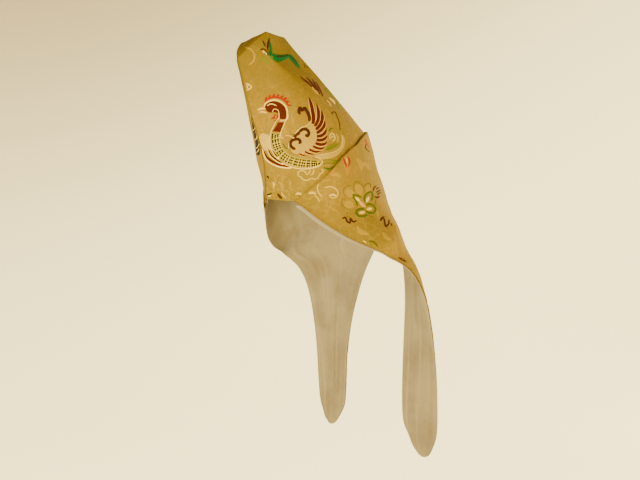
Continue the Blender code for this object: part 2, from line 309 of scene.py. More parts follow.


# Puts points and quads into a mesh in whole arrays, with a UV in metres and an edge mask value at each point.
def newPiece(name, points, quads, uv, edgeMask, material):
    mesh = bpy.data.meshes.new(name)
    mesh.vertices.add(len(points))
    mesh.vertices.foreach_set("co", np.asarray(points, np.float32).ravel())
    mesh.loops.add(quads.size)
    mesh.loops.foreach_set("vertex_index", quads.astype(np.int32).ravel())
    mesh.polygons.add(len(quads))
    mesh.polygons.foreach_set("loop_start", np.arange(0, quads.size, 4, dtype=np.int32))
    mesh.polygons.foreach_set("loop_total", np.full(len(quads), 4, np.int32))
    mesh.update(calc_edges=True)
    mesh.validate()
    if len(mesh.loops) == quads.size:
        layer = mesh.uv_layers.new(name="clothMetres")
        layer.data.foreach_set("uv", uv[quads.ravel()].astype(np.float32).ravel())
    attribute = mesh.attributes.new("edgeMask", "FLOAT", "POINT")
    attribute.data.foreach_set("value", edgeMask.astype(np.float32))
    mesh.polygons.foreach_set("use_smooth", np.ones(len(mesh.polygons), bool))
    mesh.set_sharp_from_angle(angle=math.radians(cloths["sharpFrom"]))
    mesh.materials.append(material)
    piece = newObject(name, mesh)
    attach(piece, "root")
    return piece


# Quads between neighbours of a grid of point numbers, wound so that rows cross columns outwards.
def gridQuads(index):
    return np.stack([index[:-1, :-1], index[:-1, 1:], index[1:, 1:], index[1:, :-1]], -1).reshape(-1, 4)


# A closed wall between an outer and an inner grid of the same size.
def wallQuads(rows, columns):
    outer = np.arange(rows * columns).reshape(rows, columns)
    inner = outer + rows * columns
    faces = [gridQuads(outer), gridQuads(inner)[:, ::-1]]
    border = np.concatenate([outer[0, :-1], outer[:-1, -1], outer[-1, :0:-1], outer[:0:-1, 0]])
    following = np.roll(border, -1)
    faces.append(np.stack([following, border, border + rows * columns, following + rows * columns], -1))
    return np.concatenate(faces)


# A socket that takes part in sums and products: each operator adds the Math node that works it out.
class Wire:
    def __init__(self, tree, socket):
        self.tree, self.socket = tree, socket

    def math(self, operation, other=None, swap=False, clamp=False):
        values = [self, other] if not swap else [other, self]
        return node(self.tree, "ShaderNodeMath", {"operation": operation, "use_clamp": clamp},
                    {i: v for i, v in enumerate(values) if v is not None})

    def __add__(self, other):
        return self.math("ADD", other)

    def __sub__(self, other):
        return self.math("SUBTRACT", other)

    def __rsub__(self, other):
        return self.math("SUBTRACT", other, swap=True)

    def __mul__(self, other):
        return self.math("MULTIPLY", other)

    __radd__, __rmul__ = __add__, __mul__

    def sine(self):
        return self.math("SINE")

    def clamped(self):
        return self.math("ADD", 0.0, clamp=True)


# Gives the sockets of a node their values or wires.
def feed(tree, made, sockets):
    for key, value in sockets.items():
        if isinstance(value, Wire):
            tree.links.new(value.socket, made.inputs[key])
        else:
            made.inputs[key].default_value = value


# Any node: its type, its settings, the values or wires of its sockets, and which output to hand back.
def node(tree, kind, settings=None, sockets=None, output=0):
    made = tree.nodes.new(kind)
    for key, value in (settings or {}).items():
        setattr(made, key, value)
    feed(tree, made, sockets or {})
    return Wire(tree, made.outputs[output])


# A colour between two others, by a wire or a number from 0 to 1.
def mixColour(tree, factor, first, second):
    sockets = {0: factor, 6: first if isinstance(first, Wire) else (*first, 1),
               7: second if isinstance(second, Wire) else (*second, 1)}
    return node(tree, "ShaderNodeMix", {"data_type": "RGBA"}, sockets, output=2)


# Soft noise from 0 to 1, so many turns to the metre, with finer noise added on top.
def noise(tree, place, scale, detail, roughness):
    return node(tree, "ShaderNodeTexNoise", {}, {"Vector": place, "Scale": scale, "Detail": detail,
                                                 "Roughness": roughness})


# A smooth step of a wire from 0 at low to 1 at high.
def stepBetween(tree, value, low, high):
    return node(tree, "ShaderNodeMapRange", {"interpolation_type": "SMOOTHSTEP"},
                {0: value, 1: low, 2: high, 3: 0.0, 4: 1.0})


# Noise drawn out along the cloth's threads: how dense it is in a metre round and up the cloth.
def streaks(tree, uv, around, up, detail, roughness):
    place = node(tree, "ShaderNodeMapping", {}, {"Vector": uv, "Scale": (around, up, 1.0)})
    return noise(tree, place, 1.0, detail, roughness)


# A wire's three parts.
def partsOf(tree, vector):
    outputs = node(tree, "ShaderNodeSeparateXYZ", {}, {0: vector}).socket.node.outputs
    return [Wire(tree, output) for output in outputs]


# Normals tilted by the slope of a height, its distance in metres.
def bump(tree, strength, distance, height):
    return node(tree, "ShaderNodeBump", {}, {"Strength": strength, "Distance": distance, "Height": height})


# Colours laid over one another: each by its share, where its wire has gone from the first value to the
# second, up or down.
def layered(tree, colour, look, layers):
    for wire, low, high, share, tone in layers:
        colour = mixColour(tree, stepBetween(tree, wire, low, high) * share, colour, look[tone])
    return colour


# A material, its nodes, its shader, and a wire for the place on the piece.
def newMaterial(name):
    material = bpy.data.materials.new(name)
    material.use_nodes = True
    tree = material.node_tree
    return material, tree, tree.nodes["Principled BSDF"], node(tree, "ShaderNodeTexCoord", output=3)


goldBrocade = {
    "gold": (0.200, 0.122, 0.0073), "warmGold": (0.229, 0.122, 0.0065), "olive": (0.148, 0.098, 0.0065),
    # the last colour of this line, crease, is painted shade laid along the ridges, the roof's edge and the
    # wings' edges
    "pale": (0.303, 0.194, 0.021), "topShade": (0.100, 0.070, 0.0060), "crease": (0.037, 0.018, 0.0024),
    "threadPitch": 0.0008,
    "cloudScale": 7.0, "toneScale": 30.0, "mottleScale": 190.0, "scrollScale": 34.0,
    # between which heights the painted shade darkens the peak, and by what share
    "topShadeFrom": 0.035, "topShadeTo": 0.150, "topShadeShare": 0.55,
    "metallic": 0.16, "roughness": 0.56, "specular": 0.05, "gloss": (1.0, 0.62, 0.16, 1),
}


# Gold ground: twill threads on the cloth's own UV, streaks along the weft, slow clouds of tone, woven
# pale scrolls of tone on tone, and a darker line of painted shade where the cloth is folded and along its
# edges.
def brocadeMaterial(look):
    material, tree, shader, place = newMaterial("goldBrocade")
    uv = node(tree, "ShaderNodeUVMap", {"uv_map": "clothMetres"})
    edgeMask = node(tree, "ShaderNodeAttribute", {"attribute_name": "edgeMask"}, output=2)
    along, up, _ = partsOf(tree, uv)
    _, _, rise = partsOf(tree, place)
    turn = 2 * math.pi / look["threadPitch"]
    twill = (along * turn + up * (turn * 0.6)).sine()
    weft = (up * (turn * 1.7)).sine()
    streak = streaks(tree, uv, 14.0, 900.0, 4.0, 0.7)
    warpStreak = streaks(tree, uv, 700.0, 10.0, 3.0, 0.6)
    glint = streaks(tree, uv, 900.0, 2600.0, 1.0, 0.5)
    cloud = noise(tree, place, look["cloudScale"], 3.0, 0.55)
    tone = noise(tree, place, look["toneScale"], 3.0, 0.6)
    mottle = noise(tree, place, look["mottleScale"], 4.0, 0.70)
    # pale scrolls lie where a slow noise crosses its middle
    scroll = (noise(tree, place, look["scrollScale"], 1.0, 0.4) - 0.5).math("ABSOLUTE")
    colour = layered(tree, look["olive"], look, [
        (cloud, 0.36, 0.62, 1.0, "gold"), (tone, 0.42, 0.72, 0.45, "warmGold"),
        (mottle, 0.50, 0.68, 0.50, "pale"), (mottle, 0.48, 0.32, 0.55, "olive"),
        (scroll, 0.028, 0.006, 0.30, "pale"), (streak, 0.35, 0.80, 0.22, "pale"),
        (warpStreak, 0.30, 0.75, 0.20, "olive"), (glint, 0.60, 0.80, 0.25, "pale"),
        # painted shade: the cloth turns darker towards the peak
        (rise + cloud * 0.06, look["topShadeFrom"], look["topShadeTo"], look["topShadeShare"], "topShade"),
    ])
    # painted shade: the edge mask darkens the gold into a line of shade along the ridges, the roof's edge and
    # the wings' edges
    colour = mixColour(tree, (edgeMask * 0.6).clamped(), colour, look["crease"])
    height = twill * 0.35 + weft * 0.25 + streak * 1.2 + glint * 0.8
    feed(tree, shader, {"Base Color": colour, "Roughness": look["roughness"] + tone * 0.12 - glint * 0.10,
                        "Normal": bump(tree, 0.5, 0.00030, height),
                        "Metallic": look["metallic"] + glint * 0.12,
                        "Specular IOR Level": look["specular"], "Specular Tint": look["gloss"]})
    return material


silkLining = {"silk": (0.194, 0.158, 0.085), "light": (0.275, 0.230, 0.137), "shade": (0.141, 0.106, 0.054),
              "roughness": 0.5}


# Plain lining silk: fine crossed threads, slow tone, and slubs along the weft.
def liningMaterial(look):
    material, tree, shader, place = newMaterial("silkLining")
    uv = node(tree, "ShaderNodeUVMap", {"uv_map": "clothMetres"})
    edgeMask = node(tree, "ShaderNodeAttribute", {"attribute_name": "edgeMask"}, output=2)
    cloud = noise(tree, place, 14.0, 3.0, 0.5)
    slub = streaks(tree, uv, 30.0, 1400.0, 3.0, 0.6)
    warp = streaks(tree, uv, 1500.0, 25.0, 2.0, 0.5)
    crease = noise(tree, place, 38.0, 2.0, 0.5)
    # fall: long folds down the lining, raised by the bump and also painted in the light tone as sheen on
    # their crests
    fall = streaks(tree, uv, 34.0, 3.0, 3.0, 0.5)
    colour = layered(tree, look["shade"], look, [
        (cloud, 0.30, 0.62, 1.0, "silk"), (fall, 0.50, 0.72, 0.45, "light"),
        (slub, 0.45, 0.80, 0.5, "light")])
    # the edge mask turns the lining paler towards its ridges and edges
    colour = mixColour(tree, (edgeMask * 0.5).clamped(), colour, look["light"])
    height = slub * 0.8 + warp * 0.8 + crease * 5.0 + fall * 9.0
    feed(tree, shader, {"Base Color": colour, "Roughness": look["roughness"] + slub * 0.1,
                        "Normal": bump(tree, 0.35, 0.00035, height), "Specular IOR Level": 0.2,
                        "Sheen Weight": 0.08, "Sheen Roughness": 0.4})
    return material


# Figure silk: floats lie side by side across the figure, with a soft gloss and uneven dye.
def figureMaterial(name, colour, paler):
    material, tree, shader, place = newMaterial(name)
    uv = node(tree, "ShaderNodeUVMap", {"uv_map": "clothMetres"})
    thread = (partsOf(tree, uv)[0] * (2 * math.pi / drawing["floatPitch"])).sine()
    fibre = streaks(tree, uv, 1500.0, 160.0, 2.0, 0.6)
    dye = noise(tree, place, 60.0, 2.0, 0.5)
    tint = layered(tree, colour, {"paler": paler}, [
        (fibre, 0.35, 0.75, 0.4, "paler"), (dye, 0.40, 0.70, 0.25, "paler")])
    feed(tree, shader, {"Base Color": tint, "Roughness": 0.52 + fibre * 0.12,
                        "Normal": bump(tree, 0.4, 0.00012, thread * 0.5 + fibre),
                        "Specular IOR Level": 0.03, "Specular Tint": goldBrocade["gloss"]})
    return material


# The camera stands where the photo was taken from, and looks level.
view = {"place": (0.8426, -0.6871, -0.19), "azimuth": 50.0, "focalPixels": 590.7, "width": 640, "height": 480}
azimuth = math.radians(view["azimuth"])
viewRight = np.array([math.cos(azimuth), math.sin(azimuth), 0])
viewAhead = np.array([-math.sin(azimuth), math.cos(azimuth), 0])
cameraData = bpy.data.cameras.new("camera")
cameraData.sensor_width = 36
cameraData.lens = view["focalPixels"] * 36 / view["width"]
camera = newObject("camera", cameraData)
camera.location = view["place"]
camera.rotation_euler = (math.pi / 2, 0, azimuth)
bpy.context.scene.camera = camera

brocade = brocadeMaterial(goldBrocade)
silk = liningMaterial(silkLining)
clothOf = {}                                # each cloth's outer grid and normals, for the figures to lie on


# Both halves of a crown ply as one sheet: the edge mask (painted shade on the brocade, a paler lining) falls
# off with the distance from the ridges and the roof's edge, and a modifier gives the sheet its wall.
def crownPiece(name, nodeName, ply, size, thickness, material):
    grid = crownGrid(ply, size["columns"], size["rows"], size["roofRows"], size["waves"],
                     size["ridgeRounding"])
    normal = gridNormals(grid)
    run = runLength(grid, 1)
    rise = runLength(grid, 0)
    middle = run.shape[0] // 2
    u = run[middle][None, :] + 0 * run
    ridge = np.exp(-np.minimum(run, run[:, -1:] - run) / cloths["ridgeMaskReach"])
    roofEdge = np.exp(-np.abs(np.arange(len(grid)) - size["rows"]) / cloths["roofMaskRows"])[:, None]
    edgeMask = np.clip(ridge + cloths["roofMask"] * roofEdge, 0, 1)
    # both halves share the middle plane's points, so the mirrored half skips its first and last columns
    rows, columns = grid.shape[:2]
    left = np.arange(rows * columns).reshape(rows, columns)
    right = left + rows * columns
    points = np.concatenate([grid.reshape(-1, 3), (grid * [-1, 1, 1]).reshape(-1, 3)])
    right[:, 0], right[:, -1], right[-1] = left[:, 0], left[:, -1], left[-1]
    quads = np.concatenate([gridQuads(left), gridQuads(right)[:, ::-1]])
    uv = np.stack([u, rise], -1).reshape(-1, 2)
    uv = np.concatenate([uv, uv * [-1, 1]])
    used, inverse = np.unique(quads, return_inverse=True)
    quads = inverse.reshape(-1, 4)
    piece = newPiece(name, points[used], quads, uv[used], np.tile(edgeMask.ravel(), 2)[used], material)
    wall = piece.modifiers.new("wall", "SOLIDIFY")
    wall.thickness = thickness
    wall.offset = -1
    wall.use_even_offset = False
    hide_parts(nodeName)
    return piece, grid, normal


crownCloth, crownLeft, crownNormal = crownPiece(
    "crownCloth", "crown", "crown", crown, cloths["brocadeWall"], brocade)
clothOf["crownLeft"] = (crownLeft, crownNormal)
clothOf["crownRight"] = (crownLeft * [-1, 1, 1], crownNormal * [-1, 1, 1])
liningSize = {"columns": 70, "rows": 90, "roofRows": 14, "waves": 0.0010, "ridgeRounding": 2}
crownSilk, _, _ = crownPiece(
    "crownSilk", "crown_lining", "crownLining", liningSize, cloths["liningWall"], silk)
print("crown made")


# A wing ply as a closed wall between its outer and inner grid, mirrored by side, with an edge mask along
# its edges that paints shade on the brocade and paler edges on the lining.
def wingPiece(name, nodeName, side, plies, material, edgeMaskStrength):
    outer, inner = [grid * [side, 1, 1] for grid in plies]
    rows, columns = outer.shape[:2]
    quads = wallQuads(rows, columns)
    if side < 0:
        quads = quads[:, ::-1]
    run, rise = runLength(outer, 1), runLength(outer, 0)
    middle = run[int(rows * 0.7)]
    uv = np.stack([middle[None, :] * side + 0 * run, rise[:, :1] + 0 * rise], -1).reshape(-1, 2)
    edge = np.exp(-np.minimum(run, run[:, -1:] - run) / cloths["edgeMaskReach"])
    edge = np.maximum(edge, np.exp(-np.minimum(rise, rise[-1:] - rise) / cloths["edgeMaskReach"]))
    edgeMask = np.clip(edge * edgeMaskStrength, 0, 1).ravel()
    points = np.concatenate([outer.reshape(-1, 3), inner.reshape(-1, 3)])
    piece = newPiece(name, points, quads, np.concatenate([uv, uv]), np.tile(edgeMask, 2), material)
    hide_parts(nodeName)
    return piece


outerWalls = wingGrids(wingCloth["columns"], wingCloth["stepsPerRow"], wingCloth["ledgeRows"],
                       wingCloth["waves"], 0, 0, (0, cloths["brocadeWall"]))
inside = cloths["brocadeWall"] + cloths["plyGap"]
innerWalls = wingGrids(wingSilk["columns"], wingSilk["stepsPerRow"], 0, wingCloth["waves"],
                       wing["liningShow"], wingSilk["firstRow"], (inside, inside + cloths["liningWall"]))
for sign, word in ((1, "left"), (-1, "right")):
    title = word.capitalize()
    wingPiece(
        "wingCloth" + title, "wing_" + word, sign, outerWalls, brocade, 1.0)
    wingPiece(
        "wingSilk" + title, "wing_lining_" + word, sign, innerWalls, silk, 0.6)
    normal = gridNormals(outerWalls[0])
    clothOf["wing" + title] = (outerWalls[0] * [sign, 1, 1], normal * [sign, 1, 1])
print("wings made")

# Figures are drawn in marks, seven to an image pixel, x to the right and y down from the corner.
drawing = {"marks": 7.0, "corner": (228, 20), "markOnCloth": 0.00026, "stretch": 1.12, "ply": 0.00016,
           "sunk": 0.00010, "backing": 0.00012, "hitWithin": 0.0012, "leastFacing": 0.14,
           "leastFacingFar": 0.02, "sampleRows": 44, "sampleColumns": 30, "block": 2000, "steps": 14,
           "patchStep": 6, "floatPitch": 0.0007, "rayStart": 0.1}

# silk: colour, paler colour
silkDyes = {
    "cream": ((0.533, 0.353, 0.060), (0.593, 0.447, 0.117)),
    "rose": ((0.430, 0.225, 0.031), (0.490, 0.301, 0.066)),
    "pearl": ((0.344, 0.225, 0.029), (0.430, 0.310, 0.066)),
    "maroon": ((0.048, 0.0069, 0.0007), (0.077, 0.014, 0.0022)),
    "vermilion": ((0.185, 0.013, 0.0005), (0.220, 0.020, 0.0010)),
    "straw": ((0.215, 0.151, 0.0088), (0.301, 0.225, 0.026)),
    "blush": ((0.292, 0.184, 0.019), (0.361, 0.249, 0.040)),
    "brown": ((0.031, 0.0095, 0.0007), (0.057, 0.019, 0.0022)),
    "olive": ((0.095, 0.089, 0.0044), (0.142, 0.133, 0.012)),
    "green": ((0.043, 0.062, 0.0050), (0.078, 0.096, 0.0110)),
    "emerald": ((0.0017, 0.067, 0.015), (0.0069, 0.114, 0.026)),
    "pine": ((0.0095, 0.017, 0.0022), (0.022, 0.032, 0.0044)),
    "ink": ((0.0052, 0.0026, 0.0015), (0.015, 0.0086, 0.0037)),
    "apricot": ((0.260, 0.115, 0.0050), (0.310, 0.150, 0.0100)),
    "paleGold": ((0.421, 0.273, 0.025), (0.507, 0.365, 0.062)),
    "thread": ((0.206, 0.117, 0.0073), (0.292, 0.185, 0.022)),
    "dimGold": ((0.240, 0.148, 0.0065), (0.295, 0.190, 0.0130)),
}


# Each row of a figure: silk, form, layer, width in marks, points. A patch has two edges for points. Rows
# of one silk, form and layer are given together, each as its width and then the x and y of its points.
def strokes(silkName, form, layer, *rows):
    return [(silkName, form, layer, row[0], list(zip(row[1::2], row[2::2]))) for row in rows]


bodyEdges = (
    [(299, 790), (294, 840), (310, 905), (362, 982), (434, 1020), (504, 1036), (579, 1034), (642, 1010)],
    [(366, 790), (372, 850), (394, 905), (436, 942), (494, 958), (554, 967), (606, 974), (652, 984)])
phoenix = [
    ("pearl", "patch", 1, 0, [(240, 800), (222, 826), (232, 874), (258, 916)],
     [(276, 796), (298, 826), (302, 870), (298, 912)]),
    *strokes("cream", "line", 2, [5, 258, 792, 230, 806, 220, 830]),
    # beak, wattle and comb
    *strokes("paleGold", "leaf", 1,
        [22, 204, 632, 236, 619, 268, 622], [15, 216, 644, 246, 643, 278, 652]),
    *strokes("vermilion", "leaf", 1,
        [20, 332, 656, 322, 684, 300, 690], [20, 340, 658, 350, 684, 324, 710],
        [17, 266, 572, 264, 552, 276, 536], [18, 288, 554, 290, 538, 304, 524],
        [18, 312, 544, 318, 530, 332, 516], [18, 338, 544, 348, 530, 364, 522],
        [18, 362, 550, 376, 538, 392, 530], [20, 382, 562, 402, 550, 420, 546],
        [18, 398, 578, 418, 570, 432, 574], [14, 408, 592, 426, 596, 448, 600]),
    *strokes("apricot", "line", 2, [5, 328, 668, 336, 680, 326, 694]),
    *strokes("vermilion", "line", 1, [15, 254, 580, 284, 552, 326, 540, 370, 548, 404, 572, 424, 598]),
    # head and neck
    ("maroon", "patch", 2, 0,
     [(256, 608), (268, 586), (298, 571), (338, 571), (374, 586), (402, 620), (409, 655), (404, 694)],
     [(262, 618), (274, 640), (294, 648), (318, 646), (342, 650), (356, 668), (362, 684), (366, 694)]),
    ("maroon", "patch", 2, 0, [(350, 716), (334, 745), (312, 780)], [(392, 716), (380, 748), (368, 784)]),
    *strokes("cream", "line", 1,
        [13, 252, 614, 260, 588, 290, 567, 332, 560, 372, 574, 404, 606, 416, 648, 412, 692, 398, 708]),
    *strokes("cream", "line", 3,
        [7, 274, 602, 292, 589, 318, 590, 342, 601],
        [6, 314, 646, 316, 630, 332, 623, 350, 632, 357, 655, 356, 684, 336, 708]),
    *strokes("rose", "line", 2, [12, 362, 702, 382, 704, 402, 700]),
    *strokes("cream", "line", 2,
        [6, 338, 706, 320, 742, 302, 780, 294, 820], [6, 402, 704, 390, 740, 374, 776, 372, 820, 390, 830]),
    # body
    ("straw", "patch", 1, 0, bodyEdges[0], bodyEdges[1]),
    *strokes("cream", "line", 2,
        [8, 296, 795, 290, 842, 306, 908, 360, 986, 434, 1025, 504, 1041, 580, 1038, 640, 1018, 662, 990,
         650, 976],
        [5, 604, 956, 630, 964, 652, 976]),
    *strokes("green", "leaf", 1,
        [10, 380, 860, 400, 890, 430, 912], [8, 430, 780, 450, 800, 474, 808]),
    *strokes("rose", "line", 1, [8, 400, 808, 436, 812, 462, 830]),
    # tail feathers under the breast
    *strokes("cream", "feather", 1, [33, 446, 1034, 340, 1012, 266, 964, 238, 898]),
    *strokes("maroon", "feather", 2, [22, 436, 1027, 345, 1008, 273, 962, 246, 906]),
    *strokes("cream", "feather", 3,
        [24, 388, 1010, 336, 978, 296, 942, 272, 894], [20, 358, 974, 334, 946, 308, 898]),
    *strokes("brown", "feather", 4,
        [15, 380, 1002, 338, 976, 300, 942, 278, 900], [12, 350, 962, 332, 940, 310, 906]),
    # wing ground and its curls
    ("blush", "patch", 1, 0,
     [(588, 700), (556, 752), (506, 786), (462, 828), (434, 884), (450, 926), (512, 942)],
     [(602, 726), (624, 770), (626, 812), (618, 850), (604, 884), (576, 912), (522, 944)]),
    *strokes("cream", "line", 2,
        [6, 424, 905, 430, 858, 462, 822, 470, 800, 515, 752, 556, 738, 584, 700]),
    *strokes("brown", "line", 3,
        [23, 504, 662, 497, 645, 504, 616, 518, 632, 536, 618, 552, 640, 567, 670, 572, 712],
        [22, 464, 824, 480, 802, 504, 790],
        [22, 498, 784, 524, 765, 554, 770, 566, 796, 554, 812, 541, 800],
        [22, 474, 906, 449, 892, 437, 870, 445, 847, 470, 835, 498, 838, 507, 856, 493, 864]),
]
# the fan of the wing: the width of each feather, then its base, two bends and tip
fan = [
    [30, 594, 728, 598, 690, 590, 630, 566, 538], [27, 608, 744, 630, 700, 633, 650, 618, 583],
    [28, 616, 768, 647, 730, 660, 690, 654, 632], [27, 621, 792, 654, 768, 673, 740, 678, 706],
    [26, 622, 816, 655, 809, 678, 790, 689, 762], [26, 620, 840, 650, 842, 676, 832, 695, 811],
    [25, 612, 862, 645, 872, 674, 869, 693, 854], [22, 595, 884, 626, 897, 656, 900, 678, 891],
    [20, 569, 905, 596, 919, 622, 923, 648, 919], [17, 538, 921, 560, 932, 580, 938, 602, 940],
    [14, 497, 935, 514, 943, 528, 948, 544, 948],
]
# a pale rim, wider than the feather, with the feather's dark inside on it
for silkName, layer, wider in (("rose", 2, 6), ("maroon", 3, -2)):
    phoenix += strokes(silkName, "plume", layer, *[[width + wider, *path] for width, *path in fan])
# scales: lanes of short dark floats along the body, with a pale one behind each
scales = {"lanes": [("pine", 15), ("ink", 14), ("pine", 12)], "first": 0.03, "last": 0.985, "pitch": 0.038,
          "stagger": 0.019, "shorter": 0.04, "uneven": 0.006, "firstLane": 0.23, "laneStep": 0.26,
          "across": 6, "lean": 4, "paleWidth": 6, "paleShift": 8}
for lane, (silkName, size) in enumerate(scales["lanes"]):
    share = np.arange(scales["first"] + scales["stagger"] * (lane % 2),
                      scales["last"] - scales["shorter"] * lane, scales["pitch"])
    share = share + scales["uneven"] * np.sin(share * 97 + lane * 2)
    edge = [throughPoints(share * 7, np.arange(8), points) for points in bodyEdges]
    middle = edge[0] + (edge[1] - edge[0]) * (scales["firstLane"] + scales["laneStep"] * lane)
    across = unit(edge[1] - edge[0])
    lean = across * scales["across"] + np.stack([across[:, 1], -across[:, 0]], 1) * scales["lean"]
    for floatName, layer, width, shift in (("cream", 2, scales["paleWidth"], scales["paleShift"]),
                                           (silkName, 3, size, 0)):
        ends = zip(middle - lean + shift, middle + lean + shift)
        phoenix += [(floatName, "leaf", layer, width, [tuple(a), tuple(b)]) for a, b in ends]

scrolls = [
    # the tail's pale scroll beside the wing, its leaf and the leaves below
    ("blush", "patch", 1, 0, [(604, 952), (680, 940), (740, 926), (786, 896), (800, 850), (794, 800)],
     [(646, 976), (720, 968), (778, 938), (808, 896), (820, 850), (806, 806)]),
    *strokes("cream", "line", 2, [5, 604, 950, 680, 937, 740, 923, 784, 894, 799, 850, 796, 800]),
    *strokes("olive", "leaf", 1,
        [44, 680, 914, 718, 890, 778, 868], [15, 650, 990, 700, 978, 750, 985, 800, 984],
        [18, 655, 1012, 700, 999, 745, 1004, 776, 994], [12, 690, 1050, 716, 1052, 740, 1036]),
    *strokes("green", "line", 2, [5, 690, 908, 724, 894, 766, 880]),
    *strokes("cream", "line", 1,
        [7, 716, 836, 712, 812, 726, 792, 744, 806, 746, 838, 730, 848], [6, 724, 826, 732, 812, 738, 824]),
    *strokes("green", "leaf", 1,
        [14, 704, 780, 720, 762, 742, 756], [16, 662, 1028, 700, 1042, 735, 1030, 762, 1008]),
    *strokes("blush", "leaf", 1, [12, 756, 790, 770, 826, 764, 862]),
    *strokes("brown", "line", 1, [8, 738, 662, 726, 650, 744, 643, 766, 680, 780, 722, 784, 776]),
    # clouds
    *strokes("paleGold", "line", 1,
        [8, 554, 1084, 536, 1060, 508, 1056, 490, 1070, 494, 1090, 514, 1102],
        [8, 514, 1094, 520, 1110, 546, 1122, 572, 1116, 584, 1104],
        [8, 582, 1104, 604, 1114, 630, 1104, 640, 1084, 650, 1074, 666, 1060, 656, 1040],
        [8, 576, 1040, 570, 1066, 548, 1086], [8, 600, 1042, 598, 1068, 580, 1088]),
]
cloudWisp = [
    *strokes("dimGold", "line", 1, [9, 322, 1100, 334, 1140, 322, 1176, 330, 1200]),
    *strokes("paleGold", "leaf", 1, [16, 314, 1130, 322, 1156, 318, 1180]),
    *strokes("dimGold", "leaf", 1, [26, 350, 1130, 376, 1152, 384, 1186]),
]
frontClouds = [
    *strokes("paleGold", "leaf", 1, [20, 470, 1222, 500, 1214, 520, 1228]),
    *strokes("paleGold", "line", 1, [7, 480, 1238, 498, 1250, 512, 1262]),
    *strokes("brown", "leaf", 1, [22, 346, 1212, 362, 1236, 380, 1252]),
    *strokes("cream", "line", 1, [6, 372, 1206, 390, 1232, 404, 1250]),
    *strokes("pine", "leaf", 1, [14, 268, 1222, 288, 1222, 310, 1208]),
    *strokes("cream", "leaf", 1, [12, 278, 1236, 292, 1232, 304, 1226]),
    *strokes("ink", "leaf", 1, [13, 270, 1090, 280, 1100, 286, 1112]),
    *strokes("dimGold", "line", 1, [9, 420, 1110, 440, 1140, 432, 1172, 452, 1196]),
]
wingClouds = [
    *strokes("paleGold", "line", 1,
        [8, 634, 1146, 626, 1180, 640, 1216, 662, 1240],
        [8, 672, 1176, 712, 1166, 750, 1180, 770, 1208, 756, 1240, 722, 1242, 706, 1222],
        [8, 606, 1224, 630, 1250, 640, 1272]),
    *strokes("cream", "leaf", 1, [14, 712, 1226, 736, 1222, 762, 1236]),
    *strokes("paleGold", "leaf", 1, [18, 560, 1216, 590, 1208, 620, 1220]),
    *strokes("dimGold", "line", 1,
        [9, 700, 1260, 690, 1290, 720, 1312, 770, 1340], [8, 655, 1140, 690, 1120, 730, 1124],
        [10, 1030, 1330, 1050, 1352, 1044, 1376]),
    *strokes("dimGold", "leaf", 1,
        [34, 900, 960, 930, 1010, 936, 1060], [30, 930, 1000, 968, 1010, 990, 1050],
        [40, 900, 1440, 930, 1480, 990, 1500], [34, 1080, 1480, 1110, 1520, 1150, 1540],
        [30, 720, 1090, 760, 1080, 790, 1100]),
]
bud = [
    *strokes("apricot", "leaf", 1,
        [52, 800, 940, 832, 1010, 836, 1092], [40, 742, 1036, 732, 1060, 712, 1084]),
    *strokes("vermilion", "leaf", 2,
        [16, 806, 958, 816, 992, 834, 1034], [14, 838, 952, 850, 984, 842, 1034]),
    *strokes("cream", "leaf", 2, [7, 826, 960, 832, 984, 832, 1004]),
]
sideBud = [
    *strokes("vermilion", "leaf", 1, [20, 956, 830, 972, 862, 990, 896]),
    *strokes("maroon", "line", 2, [8, 966, 866, 962, 886, 976, 912, 994, 920, 998, 900, 986, 874]),
    *strokes("apricot", "line", 2, [4, 962, 838, 974, 862, 984, 884]),
]
flower = [
    *strokes("dimGold", "leaf", 1,
        [62, 826, 1186, 852, 1208, 884, 1236], [66, 892, 1148, 914, 1178, 934, 1222],
        [66, 808, 1290, 846, 1290, 888, 1300], [40, 980, 1152, 978, 1176, 968, 1206]),
    *strokes("green", "line", 2,
        [4, 866, 1160, 826, 1166, 808, 1188, 812, 1222, 830, 1238],
        [4, 828, 1248, 804, 1254, 796, 1284, 820, 1314, 860, 1336], [4, 838, 1344, 834, 1372, 852, 1386],
        [4, 882, 1202, 882, 1162, 894, 1132, 920, 1142, 946, 1166, 956, 1202],
        [4, 954, 1166, 966, 1148, 994, 1148, 1000, 1176], [14, 867, 1223, 896, 1227, 934, 1241],
        [13, 872, 1230, 894, 1264, 908, 1302],
        [14, 960, 1280, 955, 1240, 974, 1214, 1006, 1206, 1013, 1236, 1001, 1268],
        [15, 964, 1296, 994, 1289, 1023, 1306, 1033, 1330, 1017, 1349, 988, 1350, 966, 1337],
        [16, 958, 1326, 930, 1323, 902, 1335, 898, 1354, 915, 1372, 947, 1375, 976, 1364]),
    *strokes("cream", "leaf", 2,
        [20, 968, 1276, 978, 1254, 988, 1234], [22, 972, 1328, 990, 1321, 1010, 1322],
        [20, 916, 1352, 938, 1346, 960, 1344], [20, 888, 1240, 906, 1252, 924, 1272]),
    *strokes("rose", "leaf", 2, [26, 918, 1266, 940, 1290, 962, 1308]),
    *strokes("olive", "leaf", 2,
        [10, 1030, 1256, 1036, 1278, 1030, 1298], [7, 994, 1376, 1010, 1378, 1024, 1374]),
]
twigs = [
    *strokes("brown", "leaf", 1,
        [15, 1016, 1204, 1022, 1176, 1044, 1156], [14, 1036, 1188, 1048, 1176, 1060, 1172],
        [16, 1036, 1210, 1056, 1196, 1074, 1186], [15, 1042, 1226, 1058, 1214, 1074, 1204],
        [18, 1024, 1234, 1046, 1242, 1070, 1228], [21, 1064, 1408, 1080, 1386, 1098, 1374]),
    *strokes("brown", "line", 1,
        [15, 798, 1392, 820, 1382, 834, 1410, 852, 1420, 858, 1390, 876, 1412, 902, 1404],
        [15, 1092, 1384, 1098, 1420, 1106, 1444, 1122, 1430, 1128, 1396]),
]
